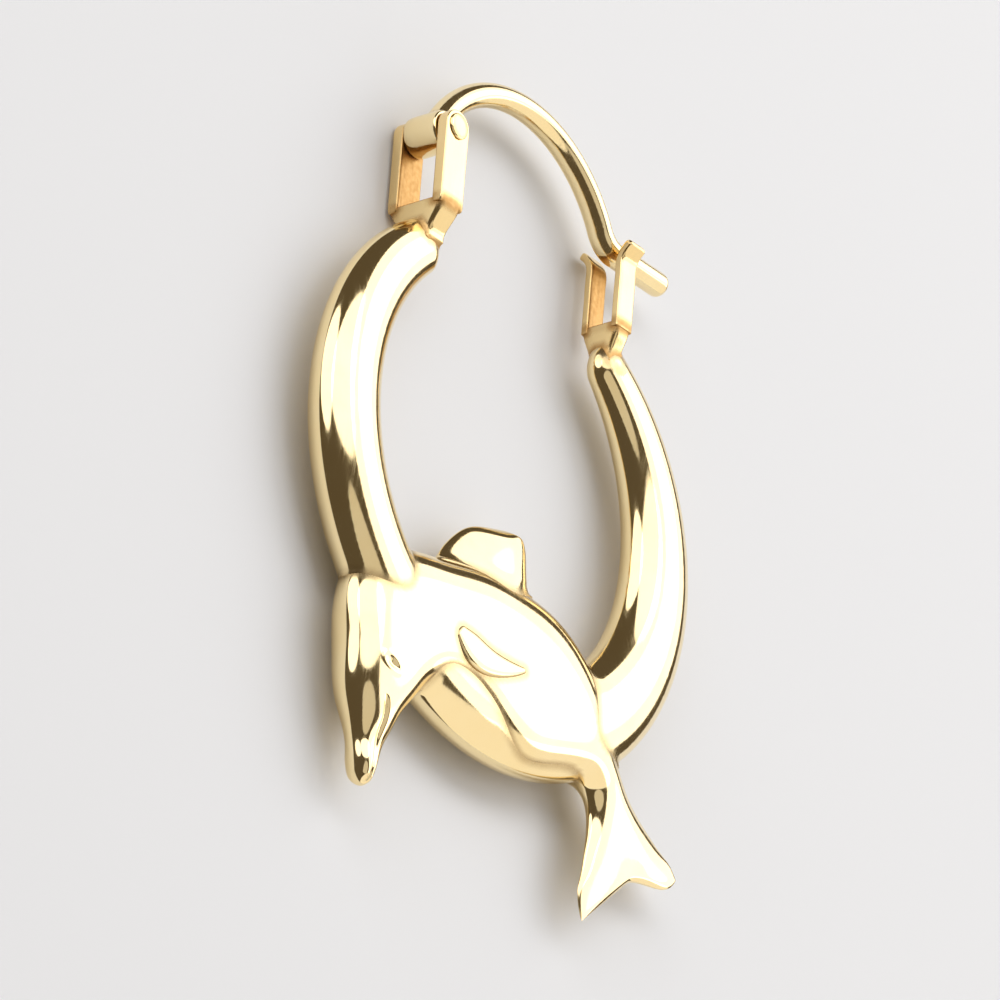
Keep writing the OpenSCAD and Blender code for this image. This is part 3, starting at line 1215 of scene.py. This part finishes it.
@dataclass(frozen=True)
class Yoke:
    """The foot that spreads from a tube's end to two arms.

    Attributes:
        name: The piece's name.
        out: Place of its middle along X.
        crotch: Level where the arms part.
        width: Width of the arms along X.
        foot_half: Half its thickness at the foot.
        arm_out: Distance of the arms' outer faces from the middle plane.
        inset: How far its sides stay inside the arms'.
        foot: Level where it leaves the tube.
        foot_wide: Width of the foot, as a share of the arms'.
        flare_from: Distance from the foot at which it begins to spread.
        fillet: Radius of the fillet on the tube.
        cut: Its rings and rounded ends.
    """

    name: str
    out: float
    crotch: float
    width: float
    foot_half: float
    arm_out: float
    inset: float = 0.02
    foot: float = 6.8
    foot_wide: float = 0.84
    flare_from: float = 0.15
    fillet: float = 0.15
    cut: Cut = Cut(60, 64, start=0.05, stop=0.1, wide=0.85, thick=0.9)

    def shell(self) -> Shell:
        """The yoke's skin, which widens and thickens from foot to arms by the smooth step.

        Returns:
            The skin.
        """
        length = self.crotch - self.foot
        at, shrink = self.cut.places(length)
        rise = smooth_step((at - self.flare_from) / (length - self.flare_from - self.cut.stop))
        wide = (self.width / 2.0 - self.inset) * between(self.foot_wide, rise)
        thick = self.foot_half + (self.arm_out - self.inset - self.foot_half) * rise
        sizes = self.cut.sizes(wide, thick, shrink)
        path, ring = rows_of(self.out, self.foot + at), bar_ring(self.cut.count, STRIP)
        return Shell(self.name, capped(sweep(path, EAST, THROUGH, ring, *sizes)), MOUNT)

    def soldered(self, tube: Shell, arm: Callable[[Face], Shell]) -> list[Shell]:
        """The skins of the yoke on its tube and of its two arms.

        Args:
            tube: The tube that the yoke is soldered to.
            arm: Makes the skin of the arm on one side of the hoop.

        Returns:
            The skins.
        """
        return [self.shell().filleted(tube, self.fillet), *(arm(face) for face in Face)]


@dataclass(frozen=True)
class Hinge:
    """Two drilled plates on a yoke, and the rivet through them.

    Attributes:
        out: Distance of the pin from the middle of the hoop, towards -X.
        up: Level of the pin.
        pin: Radius of the pin.
        gap: Clearance round the pin.
        head: Radius of the rivet's heads.
        head_thick: Thickness of a head.
        head_edge: Height of a head's straight edge.
        dome_start: Angle of the smallest ring on a head's dome, in radians.
        bevel: Height of the bevel under a head.
        neck: Distance from a head to the first ring of the shaft.
        seat: Gap under a head.
        plate_w: Width of a plate.
        plate_t: Thickness of a plate.
        plate_out: Distance of a plate's outer face from the middle plane.
        plate_full: Fullness of a plate's section.
        drop: Length of a plate below the pin.
        crotch: Level where the plates part.
        foot_half: Half the yoke's thickness at its foot.
        rays: Sections of a plate above the pin, and below it.
        plate_count: Points on a section.
        rivet_cut: Rings of a head's dome, and points round it.
    """

    out: float = 5.05
    up: float = 10.9
    pin: float = 0.27
    gap: float = 0.03
    head: float = 0.46
    head_thick: float = 0.1
    head_edge: float = 0.02
    dome_start: float = 0.02
    bevel: float = 0.008
    neck: float = 0.1
    seat: float = 0.002
    plate_w: float = 1.2
    plate_t: float = 0.42
    plate_out: float = 1.15
    plate_full: float = 7.0
    drop: float = 3.0
    crotch: float = 8.12
    foot_half: float = 0.6
    rays: tuple[int, int] = (70, 240)
    plate_count: int = 40
    rivet_cut: Cut = Cut(12, 64)

    def axis_at(self, level: float) -> Array:
        """The point of the pin's axis at a level through the hoop."""
        return np.array([-self.out, self.up, level])

    def plate_shell(self, face: Face) -> Shell:
        """The skin of one plate: sections from the hole to the rim along rays from the pin.

        The rim's distance is half the width above the pin, and below it the nearer of the straight
        side, at half the width over |cos a|, and the lower end, at the drop over |sin a|.

        Args:
            face: The side of the hoop that it stands on.

        Returns:
            The skin.
        """
        upper, lower = self.rays
        below = math.pi + math.pi * np.linspace(0.0, 1.0, lower + 2)[1:-1]
        a = np.concatenate([np.linspace(0.0, math.pi, upper), below])
        half = self.plate_w / 2.0
        side = half / np.maximum(np.abs(np.cos(a)), TINY)
        low = self.drop / np.maximum(np.abs(np.sin(a)), TINY)
        rim = np.where(a <= math.pi, half, np.minimum(side, low))
        hole = self.pin + self.gap
        ray = rows_of(np.cos(a), np.sin(a))
        level = face.value * (self.plate_out - self.plate_t / 2.0)
        path = self.axis_at(level) + ((rim + hole) / 2.0)[:, None] * ray
        ring = bar_ring(self.plate_count, self.plate_full)
        thick = np.full(len(a), self.plate_t / 2.0)
        grid = sweep(path, ray, THROUGH, ring, (rim - hole) / 2.0, thick)
        # Faces inside the slot between the plates get painted shade.
        slot = self.plate_out - self.plate_t
        return Shell(face.of("hinge_plate"), grid, MOUNT, Close.ROUND, slot)

    def rivet_shell(self) -> Shell:
        """The skin of the rivet: a shaft with a head on each end, domed as part of a circle.

        Returns:
            The skin.
        """
        turn = np.linspace(self.dome_start, math.pi / 2.0, self.rivet_cut.rings)
        top = self.plate_out + self.head_edge
        rise = top + (self.head_thick - self.head_edge) * np.cos(turn)
        dome = np.stack([self.head * np.sin(turn), rise], axis=1)
        foot = self.plate_out + self.seat
        edge = np.array([
            [self.head, foot + self.bevel],
            [self.head - self.head_edge, foot],
            [self.pin, foot],
            [self.pin, foot - self.neck],
        ])
        half = np.concatenate([dome, edge])
        profile = np.concatenate([half, half[::-1] * np.array([1.0, -1.0])])
        grid = lathe(profile, self.axis_at(0.0), self.rivet_cut.count)
        return Shell("hinge_rivet", grid, RIVET)

    def shells(self, tube: Shell) -> list[Shell]:
        """The skins of the yoke, soldered to the tube, and of the plates."""
        sizes = self.crotch, self.plate_w, self.foot_half, self.plate_out
        return Yoke("hinge_yoke", -self.out, *sizes).soldered(tube, self.plate_shell)


@dataclass(frozen=True)
class Catch:
    """Two prongs on a yoke, whose ends flare.

    Attributes:
        out: Distance of the catch from the middle of the hoop, towards +X.
        width: Width of a prong.
        thick: Thickness of a prong.
        prong_out: Distance of a prong's outer face from the middle plane.
        path: Rows of level and distance from the middle plane, for the middle of a prong.
        crotch: Level where the prongs part.
        foot_half: Half the yoke's thickness at its foot.
        cut: Rings and rounded ends of a prong.
    """

    out: float = 4.9
    width: float = 0.85
    thick: float = 0.3
    prong_out: float = 0.78
    path: tuple[tuple[float, float], ...] = (
        (7.95, 0.63),
        (8.60, 0.63),
        (9.40, 0.63),
        (10.10, 0.63),
        (10.55, 0.645),
        (10.85, 0.79),
        (11.10, 1.06),
    )
    crotch: float = 8.2
    foot_half: float = 0.45
    cut: Cut = Cut(90, 56, start=0.05, stop=0.14, wide=0.7, thick=0.25)

    def prong_shell(self, face: Face) -> Shell:
        """The skin of one prong, a flat strip that stands square to its path.

        Args:
            face: The side of the hoop that it stands on.

        Returns:
            The skin.
        """
        table = np.array(self.path)
        knots = knots_of(table)
        at, shrink = self.cut.places(knots[-1])
        level, off = spline(table, knots, at).T
        path = rows_of(self.out, level, face.value * off)
        facing = np.cross(unit_rows(np.gradient(path, at, axis=0)), EAST)
        sizes = self.cut.sizes(self.width / 2.0, self.thick / 2.0, shrink)
        grid = capped(sweep(path, EAST, facing, bar_ring(self.cut.count, STRIP), *sizes))
        # Faces inside the slot between the prongs get painted shade.
        slot = self.prong_out - self.thick
        return Shell(face.of("catch_prong"), grid, MOUNT, slot=slot)

    def shells(self, tube: Shell) -> list[Shell]:
        """The skins of the yoke, soldered to the tube, and of the prongs."""
        sizes = self.crotch, self.width, self.foot_half, self.prong_out
        return Yoke("catch_yoke", self.out, *sizes).soldered(tube, self.prong_shell)


@dataclass(frozen=True)
class EarWire:
    """The round wire that arches from the hinge to the catch, and its knuckle on the pin.

    Attributes:
        radius: Radius of the wire.
        rise: Height of the arch's crown above the pin.
        middle: Place of the crown along X.
        start: Angle on the arch from the pin to the wire's start, in degrees.
        tip: Place of the wire's far end along X.
        tip_up: Height of the wire's end above the pin.
        bend: Radius of the bend over the catch.
        knuckle: Outer radius of the knuckle.
        knuckle_half: Half the knuckle's length.
        bore: Radius of the knuckle's bore.
        fillet: Radius of the fillet between wire and knuckle.
        line_points: Points of the centre line on the arch, the bend and the tip.
        cut: Rings and rounded tip of the wire.
        knuckle_cut: Points of the knuckle's section, and round it.
    """

    radius: float = 0.43
    rise: float = 3.2
    middle: float = -0.3
    start: float = 6.0
    tip: float = 7.7
    tip_up: float = 0.12
    bend: float = 1.0
    knuckle: float = 0.72
    knuckle_half: float = 0.68
    bore: float = 0.30
    fillet: float = 0.2
    line_points: tuple[int, int, int] = (400, 120, 80)
    cut: Cut = Cut(330, 64, stop=0.36)
    knuckle_cut: Cut = Cut(64, 96)

    def centre_line(self, hinge: Hinge) -> Array:
        """Points of the wire's centre line.

        The arch is the circle through the pin whose crown stands the rise above it. The bend is a
        smaller circle that touches the arch from outside and the level line that ends at the tip.

        Args:
            hinge: The hinge that the wire turns on.

        Returns:
            The points, from the knuckle to the tip, in the middle plane.
        """
        half = self.middle + hinge.out
        arch = (half**2 + self.rise**2) / (2.0 * self.rise)
        centre = np.array([self.middle, hinge.up + self.rise - arch])
        level = hinge.up + self.tip_up
        turn_up = level + self.bend
        lift = turn_up - centre[1]
        turn = np.array([self.middle + math.sqrt((arch + self.bend) ** 2 - lift**2), turn_up])
        meet = math.acos(lift / (arch + self.bend))
        first = -math.acos((hinge.up - centre[1]) / arch) + math.radians(self.start)
        on_arch, on_bend, on_tip = self.line_points
        a = np.linspace(first, meet, on_arch)
        b = np.linspace(meet, 0.0, on_bend)[1:]
        x = np.linspace(turn[0], self.tip, on_tip)[1:]
        rows = [
            centre + arch * np.stack([np.sin(a), np.cos(a)], axis=1),
            turn - self.bend * np.stack([np.sin(b), np.cos(b)], axis=1),
            np.stack([x, np.full(len(x), level)], axis=1),
        ]
        return np.concatenate(rows)

    def wire_shell(self, hinge: Hinge) -> Shell:
        """The wire's skin, a round section on the centre line with a round tip.

        Args:
            hinge: The hinge that the wire turns on.

        Returns:
            The skin.
        """
        line = self.centre_line(hinge)
        knots = knots_of(line)
        at, shrink = self.cut.places(knots[-1])
        path = rows_of(*(np.interp(at, knots, column) for column in line.T))
        side = rows_of(*heading(path[:, :2], at)[1].T)
        sizes = self.cut.sizes(self.radius, self.radius, shrink)
        ring = oval_ring(self.cut.count, ELLIPSE)
        return Shell("ear_wire_arch", sweep(path, side, THROUGH, ring, *sizes), WIRE)

    def knuckle_shell(self, hinge: Hinge) -> Shell:
        """The skin of the knuckle, a tube round the pin whose wall has rounded edges.

        Args:
            hinge: The hinge that the knuckle turns on.

        Returns:
            The skin.
        """
        middle, half = (self.knuckle + self.bore) / 2.0, (self.knuckle - self.bore) / 2.0
        section = bar_ring(self.knuckle_cut.rings, STRIP) * np.array([half, self.knuckle_half])
        profile = section + np.array([middle, 0.0])
        grid = lathe(profile, hinge.axis_at(0.0), self.knuckle_cut.count)
        return Shell("ear_wire_knuckle", grid, WIRE, Close.ROUND)

    def shells(self, hinge: Hinge) -> list[Shell]:
        """The skins of the wire, which swells where it meets the knuckle, and of the knuckle."""
        knuckle = self.knuckle_shell(hinge)
        return [self.wire_shell(hinge).filleted(knuckle, self.fillet), knuckle]


@dataclass(frozen=True)
class Softbox:
    """An oval soft light that faces the earring.

    Attributes:
        name: The light's name.
        azimuth: Direction round Z from +X, in degrees.
        elevation: Direction above the floor, in degrees.
        half_wide: Half its width as seen from the earring, in degrees.
        half_high: Half its height as seen from the earring, in degrees.
        radiance: How bright its face is.
        tint: Its colour.
        mirrored: Whether the metal's reflections show it.
        distance: Distance from the earring, in metres.
    """

    name: str
    azimuth: float
    elevation: float
    half_wide: float
    half_high: float
    radiance: float
    tint: Colour = (1.0, 1.0, 1.0)
    mirrored: bool = True
    distance: float = 0.6

    def build(self, aim: Vector) -> None:
        """Makes the light. Its power is four times its area, an oval's, times its radiance.

        Args:
            aim: The point that it faces.
        """
        light = bpy.data.lights.new(self.name, "AREA")
        light.shape = "ELLIPSE"
        light.size = 2.0 * self.distance * math.tan(math.radians(self.half_wide))
        light.size_y = 2.0 * self.distance * math.tan(math.radians(self.half_high))
        light.energy = math.pi * light.size * light.size_y * self.radiance
        light.color = self.tint
        a, e = math.radians(self.azimuth), math.radians(self.elevation)
        toward = Vector((math.cos(a) * math.cos(e), math.sin(a) * math.cos(e), math.sin(e)))
        lamp = put(self.name, light)
        lamp.location = aim + toward * self.distance
        lamp.rotation_mode = "QUATERNION"
        lamp.rotation_quaternion = toward.to_track_quat("Z", "Y")
        lamp.visible_camera = False
        lamp.visible_glossy = self.mirrored


@dataclass(frozen=True)
class Studio:
    """A pale floor, soft light from the far side, and dim warm surroundings.

    Attributes:
        boxes: The soft lights.
        floor_size: Half size of the floor, in metres.
        floor_tone: Colour of the floor.
        floor_rough: Roughness of the floor.
        floor_gloss: Strength of the floor's gloss.
        room: Colour of the surroundings in reflections.
        backdrop: Brightness of the surroundings where the camera sees them.
    """

    boxes: tuple[Softbox, ...] = (
        Softbox("light_main", 34.0, 36.0, 29.0, 28.0, 1.35),
        Softbox("light_core", 36.0, 35.0, 14.0, 14.0, 0.6),
        Softbox("light_over", 98.0, 59.0, 27.0, 16.0, 1.35),
        Softbox("light_left", 144.0, 28.0, 23.0, 26.0, 1.35),
        Softbox("light_fill", -36.0, 27.0, 42.0, 34.0, 0.72, (1.0, 0.97, 0.92)),
        Softbox("light_top", -60.0, 80.0, 19.0, 19.0, 0.45, (1.0, 0.97, 0.92)),
        Softbox("light_floor", 60.0, 70.0, 35.0, 35.0, 0.25, mirrored=False),
    )
    floor_size: float = 2.5
    floor_tone: Colour = (0.83, 0.84, 0.87)
    floor_rough: float = 0.85
    floor_gloss: float = 0.2
    room: Colour = (0.10, 0.08, 0.055)
    backdrop: float = 0.8

    def build(self, aim: Vector) -> None:
        """Makes the floor, the lights and the surroundings.

        Args:
            aim: The point that the lights face.
        """
        for box in self.boxes:
            box.build(aim)
        self.make_floor()
        self.make_room()
        bpy.context.scene.view_settings.view_transform = "Standard"

    def make_floor(self) -> None:
        """Makes the floor, one large square at the level that the earring lies on."""
        corners = np.array([[-1.0, -1.0, 0.0], [1.0, -1.0, 0.0], [1.0, 1.0, 0.0], [-1.0, 1.0, 0.0]])
        mesh = bpy.data.meshes.new("studio_floor")
        mesh.from_pydata((corners * self.floor_size).tolist(), [], [[0, 1, 2, 3]])
        material = bpy.data.materials.new("floor_paper")
        material.use_nodes = True
        paper = {
            "Base Color": (*self.floor_tone, 1.0),
            "Roughness": self.floor_rough,
            "Specular IOR Level": self.floor_gloss,
        }
        feed(material.node_tree, material.node_tree.nodes["Principled BSDF"], paper)
        mesh.materials.append(material)
        put("studio_floor", mesh)

    def make_room(self) -> None:
        """Makes the surroundings: pale where the camera sees them and dim in reflections."""
        world = bpy.data.worlds.new("studio_room")
        world.use_nodes = True
        tree = world.node_tree
        seen = add_node(tree, "ShaderNodeLightPath", {})["Is Camera Ray"]
        tones = {"A": (*self.room, 1.0), "B": (*(self.backdrop,) * 3, 1.0), "Factor": seen}
        tone = add_node(tree, "ShaderNodeMix", tones, data_type="RGBA")
        feed(tree, tree.nodes["Background"], {"Color": tone["Result"]})
        bpy.context.scene.world = world


@dataclass(frozen=True)
class Camera:
    """The camera, turned to the earring as the photograph's is.

    Attributes:
        right: The image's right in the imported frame.
        up: The image's up.
        back: The direction from the earring to the camera.
        distance: Distance from the earring, in metres.
        fill: Share of the frame that the earring's longer side takes.
    """

    right: tuple[float, float, float] = (0.6076, 0.0713, 0.7910)
    up: tuple[float, float, float] = (-0.4049, 0.8846, 0.2313)
    back: tuple[float, float, float] = (-0.6832, -0.4608, 0.5664)
    distance: float = 0.9
    fill: float = 0.84

    def build(self, pieces: list[bpy.types.Object]) -> Vector:
        """Makes the camera so that the pieces lie in the middle of the frame.

        Args:
            pieces: The earring's pieces.

        Returns:
            The point that it looks at.
        """
        axes = np.array([self.right, self.up, self.back])
        seen = np.concatenate([points_of(piece) for piece in pieces]) @ axes.T
        low, high = seen.min(axis=0), seen.max(axis=0)
        aim = Vector((low + high) / 2.0 @ axes)
        data = bpy.data.cameras.new("camera")
        wanted = float((high - low)[:2].max()) / self.fill
        data.lens = data.sensor_width * self.distance / wanted
        camera = put("camera", data)
        turn = Matrix(axes.T.tolist()).to_4x4()
        camera.matrix_world = Matrix.Translation(aim + Vector(self.back) * self.distance) @ turn
        bpy.context.scene.camera = camera
        return aim


@dataclass(frozen=True)
class Earring:
    """The whole earring: the soldered hoop, the rivet and the ear wire.

    Attributes:
        tube: The tapering tube.
        dolphin: The figure on it.
        hinge: The hinge of the ear wire.
        catch: The catch that holds the ear wire's tip.
        wire: The ear wire.
        fillet: Radius of the fillet between tube and dolphin.
    """

    tube: HoopTube = HoopTube()
    dolphin: Dolphin = Dolphin()
    hinge: Hinge = Hinge()
    catch: Catch = Catch()
    wire: EarWire = EarWire()
    fillet: float = 0.3

    def build(self) -> list[bpy.types.Object]:
        """Makes and dresses every piece.

        A piece is marked where the others that are soldered to it cross it.

        Returns:
            The pieces.
        """
        place = Place.from_pin(self.hinge.out, self.hinge.up)
        figure, tube = self.dolphin.shells(), self.tube.shell()
        mounts = [*self.hinge.shells(tube), *self.catch.shells(tube)]
        hoop = [tube.filleted(figure[0], self.fillet), *figure, *mounts]
        return [
            shell.piece(place, [other for other in whole if other is not shell])
            for whole in (hoop, self.wire.shells(self.hinge), [self.hinge.rivet_shell()])
            for shell in whole
        ]


def main() -> None:
    """Builds the earring, reports its pieces, and builds its camera, floor and lights."""
    logging.basicConfig(level=logging.INFO, format="%(name)s: %(message)s")
    pieces = Earring().build()
    for piece in pieces:
        mesh = piece.data
        log.info("%s: %d faces, %s", piece.name, len(mesh.polygons), mesh.materials[0].name)
    Studio().build(Camera().build(pieces))


if __name__ == "__main__":
    main()
